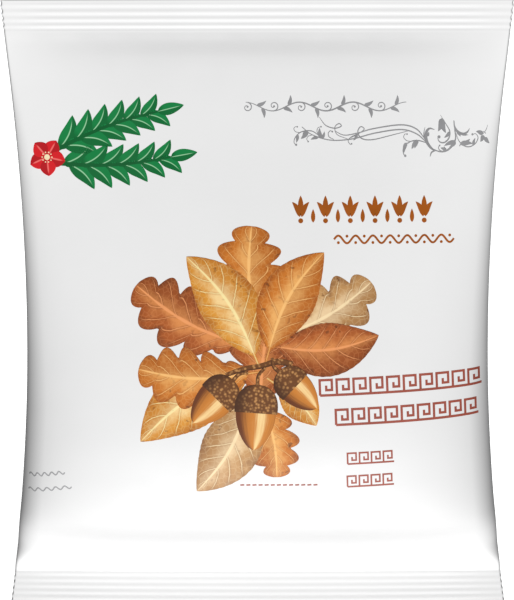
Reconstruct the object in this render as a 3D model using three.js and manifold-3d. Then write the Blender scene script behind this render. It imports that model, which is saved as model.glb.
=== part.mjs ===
// A sealed pillow bag of frozen whole chanterelles, lying on its back, as a three.js scene graph.
// Millimetres, +Z up. The origin is on the supporting surface under the middle of the bag,
// +Y runs to the top end seal and +Z out of the printed front panel.
// The bag is one web of film: a tube closed by a fin seal down the back and a crimped seal at each end.
import * as THREE from "three";
import { mergeVertices } from "three/addons/utils/BufferGeometryUtils.js";
import Module from "manifold-3d";

// Driving dimensions of the bag
const BAG_WIDTH = 180; // lay-flat width of the film tube
const BAG_LENGTH = 216.4; // over both end seals
const SEAL_LENGTH = 11.2; // each crimped end seal, along the bag
const FILM = 0.6; // one layer of film, thicker than life so that it makes a sound solid
const SEAL_THICKNESS = 2 * FILM;
const RIB_PITCH = 2.4; // crimp ribs across each end seal
const RIB_HEIGHT = 0.5; // crest to groove
const RIB_START = 1.6; // the first rib rises here, measured from the inner edge of the seal
const FIN_WIDTH = 10; // the fin seal, folded flat against the back panel
const BESIDE_FIN = [FIN_WIDTH / 2 + 0.5, FIN_WIDTH / 2 + 4]; // between these the film steps over it
const VENT_RADIUS = 0.5; // needle vent in the back panel, which lets air out when bags are stacked
const VENT_PLACE = { x: 38, y: 62 };

// How the fill shapes the film
const SIDE_DRAW_IN = 7.4; // each side edge moves this far in at mid length
const FULL_DRAW_IN = 0.35; // and this much further where the bag is fullest
const FULLEST = { y: -60, reach: 95 }; // the middle of that stretch, and its half length
const SEAL_Z = 12; // middle of the end seals above the surface
const SEAL_BOW = 1.5; // an end seal is this much higher in its middle than at its corners
const EDGE_LIFT = 3; // the side edges are this much higher at mid length than at the seals
// Along the middle of each panel: [distance from the top seal, height from the side edges' level]
const FRONT_RISE = [
  [0, 0], [13, 3], [52, 10], [103, 20.1], [124, 24.3], [142, 27.2], [155, 27.8], [163, 27.2],
  [168, 25.9], [172, 23.7], [175.5, 19.6], [178.5, 14.4], [182, 9.3], [186, 4.8], [190, 1.8], [194, 0],
];
const BACK_DROP = [
  [0, 0], [4, 1.2], [10, 4], [22, 10], [40, 17], [124, 22], [155, 20], [178, 12], [186, 6], [194, 0],
];
// Cross-section of each panel: 2 is an ellipse, more is squarer
const SECTION_POWER = { atTopSeal: 2.4, filled: 3.2, filledFrom: 60 };

// Grid of the film: columns round the tube and rows along it
const FRONT_COLUMNS = 18;
const BACK_COLUMNS = 14; // apart from those beside the fin
const ROWS = 22;
const SEAL_STEPS = 4;
const SEAL_ROOT = 1; // how far a seal runs into the tube
const POINTS_PER_RIB = 4;
const END_GAP = 3; // solid film at each end of the hollow, where the panels come together
const SIDE_GAP = 1.5 * FILM; // and along its sides, where they meet at a sharp fold

// Frozen chanterelles
const CHANTERELLES = 34; // tried: one that finds no free place is left out
const CAP_RADIUS = [8.5, 14]; // smallest and largest
const HEIGHT_PER_CAP = [2.1, 2.6]; // height as a multiple of the cap's radius
const STEM_PER_CAP = [0.27, 0.36];
const CHANTERELLE_SEGMENTS = 16; // a ridge or a furrow under the cap at each
const RIDGE_DEPTH = 0.07; // how far the ridges stand out, and the furrows lie in, per cap radius
const LOBES = 0.13; // how far the rim swells in and out, per cap radius
const RIM_WAVE = 0.18; // how far the rim rises and falls, per cap radius
const TRIES = 250; // poses tried for each mushroom
const LIFT_STEP = 1.5; // each pose is tried at heights this far apart, lowest first
const SWELL = 1.04; // a mushroom has to fit this much larger than it is, which leaves it a gap
const FILM_GAP = 1; // least distance of that larger mushroom from the film, measured upright
const SEED = 20;

const BODY_LENGTH = BAG_LENGTH - 2 * SEAL_LENGTH;
const BODY_TOP = BODY_LENGTH / 2;

const wasm = await Module();
wasm.setup();

// --- Helpers ---------------------------------------------------------------------------------

// Height at a distance along a list of [distance, height], by a Catmull-Rom curve through it.
function along(points, distance) {
  const last = points.length - 1;
  const d = Math.min(Math.max(distance, points[0][0]), points[last][0]);
  const i = Math.min(last - 1, Math.max(0, points.findIndex(([at]) => at > d) - 1));
  const k = d === points[last][0] ? last - 1 : i;
  const slope = (j) => {
    const a = points[Math.max(0, j - 1)];
    const b = points[Math.min(last, j + 1)];
    return (b[1] - a[1]) / (b[0] - a[0]);
  };
  const [start, end] = [points[k], points[k + 1]];
  const span = end[0] - start[0];
  const t = (d - start[0]) / span;
  return (
    start[1] * (1 - 3 * t * t + 2 * t ** 3) +
    end[1] * (3 * t * t - 2 * t ** 3) +
    slope(k) * span * (t - 2 * t * t + t ** 3) +
    slope(k + 1) * span * (t ** 3 - t * t)
  );
}

function seededRandom(seed) {
  let state = seed;
  return () => {
    state = (state * 1664525 + 1013904223) % 4294967296;
    return state / 4294967296;
  };
}

function solidOf(geometry) {
  const bare = geometry.clone();
  bare.deleteAttribute("normal");
  bare.deleteAttribute("uv");
  const merged = mergeVertices(bare, 1e-4);
  return new wasm.Manifold(
    new wasm.Mesh({
      numProp: 3,
      vertProperties: merged.attributes.position.array,
      triVerts: new Uint32Array(merged.index.array),
    }),
  );
}

function geometryOf(solid) {
  const mesh = solid.getMesh();
  const geometry = new THREE.BufferGeometry();
  geometry.setAttribute("position", new THREE.BufferAttribute(mesh.vertProperties, 3));
  geometry.setIndex(new THREE.BufferAttribute(mesh.triVerts, 1));
  geometry.computeVertexNormals();
  return geometry;
}

function verticesOf(solid) {
  const { vertProperties, numVert } = solid.getMesh();
  return Array.from({ length: numVert }, (_, i) => new THREE.Vector3().fromArray(vertProperties, 3 * i));
}

// Moves each vertex of a geometry to move(x, y, z, index), an array of three numbers.
function displaced(geometry, move) {
  const position = geometry.attributes.position;
  for (let i = 0; i < position.count; i++) {
    position.setXYZ(i, ...move(position.getX(i), position.getY(i), position.getZ(i), i));
  }
  return geometry;
}

// --- The shape of the filled film ------------------------------------------------------------

function halfWidth(y) {
  const overall = SIDE_DRAW_IN * Math.cos((Math.PI * y) / BAG_LENGTH);
  const away = Math.min(1, Math.abs(y - FULLEST.y) / FULLEST.reach);
  return BAG_WIDTH / 2 - overall - FULL_DRAW_IN * Math.cos((Math.PI / 2) * away) ** 2;
}

// The level where the two panels meet: along the side edges, and all over the end seals.
function midHeight(x, y) {
  const lift = EDGE_LIFT * Math.max(0, Math.cos((Math.PI * y) / BODY_LENGTH));
  const bow = SEAL_BOW * (1 - (x / halfWidth(y)) ** 2);
  return SEAL_Z + lift + bow;
}

function section(x, y) {
  const share = Math.min(1, Math.abs(x) / halfWidth(y));
  const { atTopSeal, filled, filledFrom } = SECTION_POWER;
  const fullness = THREE.MathUtils.smoothstep(BODY_TOP - y, 0, filledFrom);
  return Math.sqrt(1 - share ** THREE.MathUtils.lerp(atTopSeal, filled, fullness));
}

// The film is pressed flat where it rests, and lies over the thickness of the folded fin there.
function restHeight(x) {
  const beside = THREE.MathUtils.smoothstep(Math.abs(x), ...BESIDE_FIN);
  return SEAL_THICKNESS * (1 - beside);
}

function frontHeight(x, y) {
  return midHeight(x, y) + SEAL_THICKNESS / 2 + along(FRONT_RISE, BODY_TOP - y) * section(x, y);
}

function backHeight(x, y) {
  const free = midHeight(x, y) - SEAL_THICKNESS / 2 - along(BACK_DROP, BODY_TOP - y) * section(x, y);
  return Math.max(restHeight(x), free);
}

// --- The film --------------------------------------------------------------------------------

// Place along the bag of a row at a share of its half length: rows are closer near the ends.
const rowAt = (share, endGap) => (BODY_TOP - endGap) * Math.sin((Math.PI / 2) * share);

// Angles of the tube's columns, from the middle of the front towards +X: even ones over each
// panel, with four more over the back that stand beside the fin.
function columnAngles() {
  const front = Array.from({ length: FRONT_COLUMNS }, (_, i) => Math.PI * (i / FRONT_COLUMNS - 0.5));
  const back = Array.from({ length: BACK_COLUMNS }, (_, i) => Math.PI * (i / BACK_COLUMNS + 0.5));
  const beside = BESIDE_FIN.flatMap((x) => {
    const lean = Math.asin((2 * x) / BAG_WIDTH);
    return [Math.PI - lean, Math.PI + lean];
  });
  return [...front, ...back, ...beside].sort((a, b) => a - b);
}

// The filled tube between the end seals, as a cylinder whose every ring follows the two panels.
// It is drawn in by these gaps from the outside of the film.
function tube(panelGap, sideGap, endGap) {
  const angles = columnAngles();
  const even = new THREE.CylinderGeometry(1, 1, 2, angles.length, ROWS);
  return displaced(even, (x, share, z) => {
    const y = rowAt(share, endGap);
    if (Math.hypot(x, z) < 0.5) {
      return [0, y, midHeight(0, y)]; // the centre of an end cap
    }
    const turn = Math.atan2(x, z) / (2 * Math.PI);
    const angle = angles[Math.round(((turn + 1) % 1) * angles.length) % angles.length];
    const across = Math.sin(angle) * halfWidth(y);
    const inside = across * (1 - sideGap / halfWidth(y));
    if (Math.abs(Math.cos(angle)) < 1e-6) {
      return [inside, y, midHeight(across, y)]; // on a side edge
    }
    const isFront = Math.cos(angle) > 0;
    return [inside, y, isFront ? frontHeight(across, y) - panelGap : backHeight(across, y) + panelGap];
  });
}

// A strip across the bag, pressed into the ribs of an end seal. It runs from inside the tube to
// the cut end, and from bottom to top, measured from the middle of the seal.
function ribbedStrip(side, halfSpan, bottom, top) {
  const count = Math.round((SEAL_LENGTH / RIB_PITCH) * POINTS_PER_RIB);
  const distances = Array.from({ length: count + 1 }, (_, i) => (SEAL_LENGTH * i) / count);
  const turns = (d) => (d - RIB_START) / RIB_PITCH;
  const wave = (d) => side * (RIB_HEIGHT / 2) * Math.sin(2 * Math.PI * turns(d));
  const upper = distances.map((d) => new THREE.Vector2(d, wave(d) + top));
  const lower = distances.map((d) => new THREE.Vector2(d, wave(d) + bottom)).reverse();
  const root = [new THREE.Vector2(-SEAL_ROOT, bottom), new THREE.Vector2(-SEAL_ROOT, top)];
  const strip = new THREE.ExtrudeGeometry(new THREE.Shape([...upper, ...lower, ...root]), {
    depth: 2,
    steps: SEAL_STEPS,
    bevelEnabled: false,
  });
  strip.translate(0, 0, -1);
  return displaced(strip, (distance, height, share) => {
    const y = side * (BODY_TOP + distance);
    const x = side * share * halfSpan(y);
    return [x, y, midHeight(x, y) + height];
  });
}

// Two layers of film, crimped together.
function endSeal(side) {
  return ribbedStrip(side, halfWidth, -SEAL_THICKNESS / 2, SEAL_THICKNESS / 2);
}

// The end of the fin, crimped with them.
function finEnd(side) {
  return ribbedStrip(side, () => FIN_WIDTH / 2, -1.5 * SEAL_THICKNESS, 0);
}

// The fin seal between the end seals: both edges of the web, sealed face to face and folded flat
// down the back.
function fin() {
  const strip = new THREE.BoxGeometry(FIN_WIDTH, 2, 1, 1, ROWS, 1);
  return displaced(strip, (x, share, layer) => {
    const y = rowAt(share, 0);
    const panel = backHeight(0, y);
    return [x, y, layer > 0 ? panel + FILM / 2 : panel - SEAL_THICKNESS];
  });
}

function filmSolid() {
  const { x, y } = VENT_PLACE;
  const vent = new THREE.CylinderGeometry(VENT_RADIUS, VENT_RADIUS, 4 * FILM, 8);
  vent.rotateX(Math.PI / 2);
  vent.translate(x, y, backHeight(x, y) + FILM / 2);
  return solidOf(tube(0, 0, 0))
    .add(solidOf(endSeal(1)))
    .add(solidOf(endSeal(-1)))
    .add(solidOf(fin()))
    .add(solidOf(finEnd(1)))
    .add(solidOf(finEnd(-1)))
    .subtract(solidOf(tube(FILM, SIDE_GAP, END_GAP)))
    .subtract(solidOf(vent));
}

// --- The chanterelles ------------------------------------------------------------------------

// A funnel-shaped cap with a wavy, lobed rim and blunt ridges that run down onto a tapering stem,
// in one piece.
function chanterelle(capRadius, height, stemRadius, draw) {
  const outline = [
    [0, 0], [0.8 * stemRadius, 0], [stemRadius, 0.14 * height], [0.95 * stemRadius, 0.4 * height],
    [0.5 * capRadius, 0.64 * height], [0.8 * capRadius, 0.82 * height], [capRadius, 0.96 * height],
    [0.92 * capRadius, height], [0.5 * capRadius, 0.87 * height], [0, 0.75 * height],
  ];
  const ridged = [0, 0, 0, 0.5, 1, 1, 0, 0, 0, 0]; // share of the ridges' depth at each point
  const profile = outline.map(([radius, z]) => new THREE.Vector2(radius, z));
  const body = new THREE.LatheGeometry(profile, CHANTERELLE_SEGMENTS);
  body.rotateX(Math.PI / 2);
  const twofold = 2 * Math.PI * draw();
  const threefold = 2 * Math.PI * draw();
  const bend = 0.35 * capRadius * draw();
  return displaced(body, (x, y, z, i) => {
    const radius = Math.hypot(x, y);
    const angle = Math.atan2(y, x);
    const outward = (radius / capRadius) ** 2;
    const lobes = Math.cos(2 * angle + twofold) + 0.6 * Math.cos(3 * angle + threefold);
    const ridge = ridged[i % outline.length] * Math.cos((CHANTERELLE_SEGMENTS / 2) * angle);
    const wide = radius * (1 + LOBES * outward * lobes) + RIDGE_DEPTH * capRadius * ridge;
    const rise = RIM_WAVE * capRadius * outward * Math.cos(3 * angle + twofold);
    const lean = bend * (z / height) ** 2;
    return [wide * Math.cos(angle) + lean, wide * Math.sin(angle), z + rise - height / 2];
  });
}

const between = ([low, high], share) => low + (high - low) * share;

function apart(a, b) {
  return [0, 1, 2].some((i) => a.min[i] > b.max[i] || b.min[i] > a.max[i]);
}

// Whether every vertex of a mushroom, moved to a position, is inside the film.
function fits(points, position) {
  return points.every((point) => {
    const { x, y, z } = point.clone().add(position);
    return (
      Math.abs(y) < BODY_TOP - END_GAP - FILM_GAP &&
      Math.abs(x) < halfWidth(y) - SIDE_GAP - FILM_GAP &&
      z > backHeight(x, y) + FILM + FILM_GAP &&
      z < frontHeight(x, y) - FILM - FILM_GAP
    );
  });
}

// The lowest free place for a mushroom in a pose at (x, y), or null if it has none below a ceiling.
function lowestPlace(solid, pose, x, y, ceiling, placed) {
  const swollen = solid.transform(pose.elements);
  const points = verticesOf(swollen);
  const lowest = Math.min(...points.map((point) => point.z));
  for (let bottom = FILM + FILM_GAP; bottom < ceiling; bottom += LIFT_STEP) {
    const position = new THREE.Vector3(x, y, bottom - lowest);
    if (!fits(points, position)) continue;
    const tried = swollen.translate(position.toArray());
    const box = tried.boundingBox();
    if (placed.every((other) => apart(other.box, box) || other.solid.intersect(tried).isEmpty())) {
      return { bottom, box, solid: tried, position };
    }
  }
  return null;
}

// Puts each mushroom at the lowest free place of the poses tried for it, so that they pile up
// from the bottom. Each is tested a little larger than it is, inside the film and clear of the
// others.
function pile() {
  const draw = seededRandom(SEED);
  const placed = [];
  for (let n = 0; n < CHANTERELLES; n++) {
    const capRadius = between(CAP_RADIUS, draw());
    const height = capRadius * between(HEIGHT_PER_CAP, draw());
    const geometry = chanterelle(capRadius, height, capRadius * between(STEM_PER_CAP, draw()), draw);
    const solid = solidOf(geometry);
    let best = null;
    for (let t = 0; t < TRIES; t++) {
      const y = BODY_TOP * (1 - 2 * draw());
      const x = halfWidth(y) * (1 - 2 * draw());
      const angles = new THREE.Euler(Math.PI * draw(), Math.PI * draw(), 2 * Math.PI * draw());
      const pose = new THREE.Matrix4().makeRotationFromEuler(angles);
      pose.scale(new THREE.Vector3(SWELL, SWELL, SWELL));
      const found = lowestPlace(solid, pose, x, y, best ? best.bottom : frontHeight(0, y), placed);
      if (found) best = { ...found, angles, geometry };
    }
    if (best) placed.push(best);
  }
  return placed;
}

// --- The bag ---------------------------------------------------------------------------------

const filmMaterial = new THREE.MeshStandardMaterial({ color: 0xeeeeee, roughness: 0.35, metalness: 0 });
const flesh = new THREE.MeshStandardMaterial({ color: 0xd9932f, roughness: 0.6, metalness: 0 });

const bag = new THREE.Group();

const film = new THREE.Mesh(geometryOf(filmSolid()), filmMaterial);
film.name = "pillow_film";
bag.add(film);

pile().forEach(({ geometry, position, angles }, i) => {
  const mushroom = new THREE.Mesh(geometry, flesh);
  mushroom.name = `frozen_chanterelle_${String(i + 1).padStart(2, "0")}`;
  mushroom.position.copy(position);
  mushroom.rotation.copy(angles);
  bag.add(mushroom);
});

export default bag;
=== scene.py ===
"""The looks of a sealed pillow bag of frozen chanterelles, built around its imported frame.

Shapes are worked out in millimetres, in the frame's axes, and become metres when a mesh is made.
The film is one web, which replaces the node pillow_film. The print on its front is thin sheets of
ink that follow the film, and each mushroom inside is a finer piece made from its own node.
"""

import math

import bpy
import numpy as np
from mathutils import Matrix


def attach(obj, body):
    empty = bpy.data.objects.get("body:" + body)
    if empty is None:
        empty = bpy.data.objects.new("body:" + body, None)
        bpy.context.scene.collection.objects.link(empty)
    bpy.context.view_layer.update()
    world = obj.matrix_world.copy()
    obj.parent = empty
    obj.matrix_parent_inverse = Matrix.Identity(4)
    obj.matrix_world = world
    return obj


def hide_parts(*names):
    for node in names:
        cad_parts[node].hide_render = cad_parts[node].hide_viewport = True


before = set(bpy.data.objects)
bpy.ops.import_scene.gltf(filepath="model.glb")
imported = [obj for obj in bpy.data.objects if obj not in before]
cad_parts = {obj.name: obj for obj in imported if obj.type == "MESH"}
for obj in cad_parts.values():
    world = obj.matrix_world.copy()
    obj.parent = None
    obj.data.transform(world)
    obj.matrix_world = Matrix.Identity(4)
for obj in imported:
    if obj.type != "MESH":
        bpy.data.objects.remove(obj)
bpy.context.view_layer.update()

MM = 0.001
BODY = "root"

# --- Dimensions of the bag, as in the solids (mm) ---
BAG_WIDTH = 180
BAG_LENGTH = 216.4
SEAL_LENGTH = 11.2
FIN_WIDTH = 10
SIDE_DRAW_IN = 7.4  # each side edge moves this far in at mid length
FULL_DRAW_IN = 0.35  # and this much further where the bag is fullest
FULLEST = -60  # the middle of that stretch
FULL_REACH = 95  # and its half length
SEAL_Z = 12  # height of the end seals at their corners
SEAL_BOW = 1.5  # an end seal is this much higher in its middle than at its corners
EDGE_LIFT = 3  # the side edges are this much higher at mid length than at the seals
# How far each panel's middle line is from where the two meet: (distance from the top seal, height)
FRONT_RISE = [
    (0, 0), (13, 3), (52, 10), (103, 20.1), (124, 24.3), (142, 27.2), (155, 27.8), (163, 27.2),
    (168, 25.9), (172, 23.7), (175.5, 19.6), (178.5, 14.4), (182, 9.3), (186, 4.8), (190, 1.8), (194, 0),
]
BACK_DROP = [
    (0, 0), (4, 1.2), (10, 4), (22, 10), (40, 17), (124, 22), (155, 20), (178, 12), (186, 6), (194, 0),
]
POWER_AT_TOP_SEAL = 2.4  # of the cross-section: 2 is an ellipse, more is squarer
POWER_FILLED = 3.2
FILLED_FROM = 60  # from the top seal

# --- What only the looks need (mm) ---
# How much further out each side edge is than in the solids, at distances from the top end
SIDE_TRIM = [
    (0, 0.4), (25, 0.2), (60, 0.24), (110, 0.12), (175, 0.05), (190, 0.28), (202, -0.1),
    (BAG_LENGTH, -0.13),
]
HALF_SEAL = 0.12  # half the thickness of two layers of film
BODY_TOP = BAG_LENGTH / 2 - SEAL_LENGTH
BODY_LENGTH = 2 * BODY_TOP

# Crimp ribs of the end seals
RIB_RISE = 0.06  # crest of a rib above the middle of the seal
# Where the first rib rises, from the inner edge of the seal; their pitch; and how fast it widens
RIBS_TOP = (1.63, 2.12, 0.035)
RIBS_BOTTOM = (1.25, 2.12, 0)
RIB_LEAD = 4  # the film comes up to the first rib over this length
SIDE_RIBS = 0.35  # share of their height that the ribs keep at the sides
SIDE_REACH = 20  # and how far in they lose it
TOP_MARGIN = (9.3, 10.6)  # the ribs end between these, from the inner edge of the top seal

# How the end seals lie
TOP_DROOP = 0.09  # slope of the top seal, whose cut end sinks a little
BOTTOM_LIP = 0.33  # slope of the bottom seal, whose cut end rises a little
LIP_EASE = 0.3  # share of that slope lost at its sides
CUT_EDGE = 0.4  # the top cut end turns down over this length
CUT_TURN = 0.25  # by this much

# Side edges. A pair is for the top half of the bag and for the bottom half
FOLD_WIDTH = (0.9, 0.7)  # a strip of this width folds down along each side
FOLD_DEPTH = (1.9, 1.1)
FOLD_ROUND = 1.4  # 1 is a flat strip, 2 is a round one
FOLD_FADES = (40, 100)  # on the body it fades out between these distances from the top seal
PINCH = 0.6  # the fold is deeper by this share at one side of a rib, and flatter at the other
PINCH_LEAD = 2  # the ribs pinch it in full from this far into a seal
# The filled body's sides also roll down: over what width and how far, at distances from the top seal
ROLL_WIDTH = [(8, 1), (33, 4.5), (57, 6.3), (82, 6.6), (130, 9.2)]
ROLL_DEPTH = [(8, 0), (33, 2.3), (57, 3.6), (82, 4.6), (130, 6)]
ROLL_ENDS = (1, 12)  # that roll ends between these distances from the bottom seal
LEAST_ROLL = 0.01  # added to its width, which so never comes to nothing

# Low relief of the two panels
RELIEF_FADES = 4  # it fades out over this length before each end seal
BAND_RISE = 0.4  # a broad band stands up below the top seal
BAND_REACH = 78  # to this far on each side of the middle
BAND_STARTS = (2, 9)  # it rises between these distances from the top seal
BAND_ENDS = (10, 45)  # and sinks between these
# Pleats and dents: height, seed, number of waves, wavelength, turn and spread of their directions
FRONT_PLEATS = (0.035, 3, 5, 15, 0, 0.12)
FRONT_PLEATS_FADE = 16  # distance from the top seal that leaves them about a third of their height
FRONT_DENTS = (0.03, 4, 7, 46, 0.7, 0.9)
BACK_PLEATS = (0.25, 8, 6, 11, 0, 0.15)
BACK_PLEATS_FADE = 14  # the same, from either seal
BACK_DENTS = (0.3, 9, 8, 30, 0.6, 1)
REST_EASE = 0.8  # the film turns onto the surface over this height, not at a sharp line

# The fin seal, folded flat down the back
FIN_THICKNESS = 0.4
FIN_STEP = (FIN_WIDTH / 2 + 0.5, FIN_WIDTH / 2 + 4)  # the film steps over the fin between these
FIN_ROOT = 0.1  # how far it goes into the back panel
FIN_CLEAR = 0.06  # its lower face stays this far above the surface, apart from its crimps
CRIMP_RISE = 0.05
CRIMP_PITCH = 1.2

# Ink
INK = 0.02  # height of a sheet of ink above the film
INK_ROOT = 0.03  # how far it goes into the film
INK_LAYER = 0.01  # between one printed shape and the next that lies over it
INK_MARGIN = 0.6  # it stays this far from the side edges

# Meshes
FILM_COLUMNS = 120  # between the rolled edges
ROLL_COLUMNS = 30  # in each rolled edge
ROLL_MARGIN = 1.1  # these reach in past the widest roll by this factor
BODY_ROWS = 132
SEAL_ROWS = 56  # in each end seal
ROW_SWEEP = 1.25  # the body's rows follow the sine of angles up to this (radians), closer at its ends
FIN_ROWS = 260
FIN_COLUMNS = 41
CORNER_STEP = 0.8  # between the rows of a printed line with corners
SLOPE_STEP = 0.05  # slopes of the front are taken over this distance to each side
SHARP_FROM = 40  # degrees between two faces


# --- Curves ---
def smoothstep(low, high, value):
    t = np.clip((value - low) / (high - low), 0, 1)
    return t * t * (3 - 2 * t)


def together(*coordinates):
    """Coordinates side by side, as the last axis of one array."""
    return np.stack(coordinates, axis=-1)


def along(points, distance):
    """Height at a distance along a list of (distance, height), by a Catmull-Rom curve through it."""
    at, height = np.array(points, float).T
    slope = np.gradient(height, at)
    slope[1:-1] = (height[2:] - height[:-2]) / (at[2:] - at[:-2])
    d = np.clip(distance, at[0], at[-1])
    k = np.clip(np.searchsorted(at, d, side="right") - 1, 0, len(at) - 2)
    span = at[k + 1] - at[k]
    t = (d - at[k]) / span
    return (
        height[k] * (1 - 3 * t**2 + 2 * t**3)
        + height[k + 1] * (3 * t**2 - 2 * t**3)
        + slope[k] * span * (t - 2 * t**2 + t**3)
        + slope[k + 1] * span * (t**3 - t**2)
    )


# --- The shape of the filled film (mm) ---
def half_width(y):
    """From the middle line to a side edge, which draws in along the filled body."""
    overall = SIDE_DRAW_IN * np.cos(np.pi * y / BAG_LENGTH)
    away = np.minimum(1, np.abs(y - FULLEST) / FULL_REACH)
    drawn_in = overall + FULL_DRAW_IN * np.cos(np.pi / 2 * away) ** 2
    return BAG_WIDTH / 2 - drawn_in + along(SIDE_TRIM, BAG_LENGTH / 2 - y)


def rib_phase(y):
    """The ribs' phase at y: one turn for each of them from the inner edge of its seal."""
    beyond = np.maximum(0, np.abs(y) - BODY_TOP)
    start, pitch, widening = (np.where(y > 0, *pair) for pair in zip(RIBS_TOP, RIBS_BOTTOM))
    count = (beyond - start) / pitch
    return 2 * np.pi * count * (1 - widening * count)


def mid_height(x, y):
    """Where the two panels meet. The film rolls down over a small radius at its side edges."""
    lift = EDGE_LIFT * np.maximum(0, np.cos(np.pi * y / BODY_LENGTH))
    bow = SEAL_BOW * (1 - (x / half_width(y)) ** 2)
    distance = BODY_TOP - y
    beyond = np.maximum(0, np.abs(y) - BODY_TOP)
    from_edge = half_width(y) - np.abs(x)
    body = smoothstep(*ROLL_ENDS, BODY_LENGTH - distance)
    over = np.clip(1 - from_edge / (along(ROLL_WIDTH, distance) * body + LEAST_ROLL), 0, 1)
    rolled = along(ROLL_DEPTH, distance) * body * (1 - np.sqrt(1 - over**2))
    pinched = 1 - PINCH * np.sign(y) * np.cos(rib_phase(y)) * smoothstep(0, PINCH_LEAD, beyond)
    depth = np.where(y > 0, *FOLD_DEPTH) * pinched * (1 - body * smoothstep(*FOLD_FADES, distance))
    over = np.clip(1 - from_edge / np.where(y > 0, *FOLD_WIDTH), 0, 1)
    folded = depth * (1 - (1 - over**FOLD_ROUND) ** (1 / FOLD_ROUND))
    slope = np.where(y > 0, -TOP_DROOP, BOTTOM_LIP * (1 - LIP_EASE * (x / half_width(y)) ** 2))
    turn = np.clip(1 - (BAG_LENGTH / 2 - y) / CUT_EDGE, 0, 1)
    cut = CUT_TURN * (1 - np.sqrt(1 - turn**2))
    return SEAL_Z + lift + bow + slope * beyond - rolled - folded - cut


def section(x, y):
    """Height of a panel's cross-section, as a share of its height along the middle line."""
    share = np.minimum(1, np.abs(x) / half_width(y))
    fullness = smoothstep(0, FILLED_FROM, BODY_TOP - y)
    power = POWER_AT_TOP_SEAL + (POWER_FILLED - POWER_AT_TOP_SEAL) * fullness
    return np.sqrt(np.maximum(0, 1 - share**power))


def ribs(x, y):
    """Height of the crimp ribs over the middle of an end seal. They fade out on the body."""
    beyond = np.abs(y) - BODY_TOP
    inward = smoothstep(0, SIDE_REACH, half_width(y) - np.abs(x))
    rise = RIB_RISE * (SIDE_RIBS + (1 - SIDE_RIBS) * inward)
    margin = np.where(y > 0, 1 - smoothstep(*TOP_MARGIN, beyond), 1)
    return np.sign(y) * rise * np.sin(rib_phase(y)) * margin * smoothstep(-RIB_LEAD, 0, beyond)


def waves(x, y, height, seed, count, wavelength, turn, spread):
    """Soft uneven waves of about this height, whose crests run mainly at an angle to +Y."""
    draw = np.random.default_rng(seed)
    total = np.zeros(np.broadcast(x, y).shape)
    for _ in range(count):
        angle = turn + draw.normal(0, spread)
        length = wavelength * draw.uniform(0.7, 1.5)
        phase = 2 * np.pi * draw.random()
        total += np.sin(2 * np.pi * (x * np.cos(angle) + y * np.sin(angle)) / length + phase)
    return height * total / np.sqrt(count)


def off_seals(distance):
    """1 on the body and 0 at both end seals, by the distance from the top seal."""
    return smoothstep(0, RELIEF_FADES, distance) * smoothstep(0, RELIEF_FADES, BODY_LENGTH - distance)


def front_height(x, y):
    """Height of the front panel's outer face."""
    distance = BODY_TOP - y
    across_band = np.maximum(0, 1 - (x / BAND_REACH) ** 2)
    along_band = smoothstep(*BAND_STARTS, distance) * (1 - smoothstep(*BAND_ENDS, distance))
    band = BAND_RISE * across_band * along_band
    pleats = np.exp(-distance / FRONT_PLEATS_FADE) * waves(x, y, *FRONT_PLEATS)
    relief = off_seals(distance) * (band + pleats + waves(x, y, *FRONT_DENTS))
    rise = along(FRONT_RISE, distance) * section(x, y)
    return mid_height(x, y) + HALF_SEAL + rise + ribs(x, y) + relief


def back_height(x, y):
    """Height of the back panel's outer face, flat where it rests on the surface or on the fin."""
    distance = BODY_TOP - y
    to_seal = np.minimum(distance, BODY_LENGTH - distance)
    pleats = np.exp(-to_seal / BACK_PLEATS_FADE) * waves(x, y, *BACK_PLEATS)
    relief = off_seals(distance) * section(x, y) * (pleats + waves(x, y, *BACK_DENTS))
    drop = along(BACK_DROP, distance) * section(x, y)
    free = mid_height(x, y) - HALF_SEAL - drop + ribs(x, y) + relief
    rest = FIN_THICKNESS * (1 - smoothstep(*FIN_STEP, np.abs(x)))
    gap = free - rest
    eased = (gap + REST_EASE) ** 2 / (4 * REST_EASE)
    return rest + np.where(gap > REST_EASE, gap, np.where(gap < -REST_EASE, 0, eased))


def on_front(x, y, lift):
    """Points over the front of the film, raised along its normal."""
    step = SLOPE_STEP
    across = (front_height(x + step, y) - front_height(x - step, y)) / (2 * step)
    up = (front_height(x, y + step) - front_height(x, y - step)) / (2 * step)
    length = np.sqrt(1 + across**2 + up**2)
    z = front_height(x, y)
    return together(x - lift * across / length, y - lift * up / length, z + lift / length)


# --- Meshes ---
def add_object(name, data):
    piece = bpy.data.objects.new(name, data)
    bpy.context.scene.collection.objects.link(piece)
    return piece


def add_piece(name, mesh):
    """An object that rides on the bag."""
    mesh.polygons.foreach_set("use_smooth", [True] * len(mesh.polygons))
    piece = add_object(name, mesh)
    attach(piece, BODY)
    return piece


def sheet_faces(rows, columns, flip, start):
    """Four-sided faces of a grid of vertices, whose first vertex has the number start."""
    index = start + np.arange(rows * columns).reshape(rows, columns)
    a, b, c, d = index[:-1, :-1], index[:-1, 1:], index[1:, 1:], index[1:, :-1]
    order = (a, d, c, b) if flip else (a, b, c, d)
    return together(*order).reshape(-1, 4)


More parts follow.
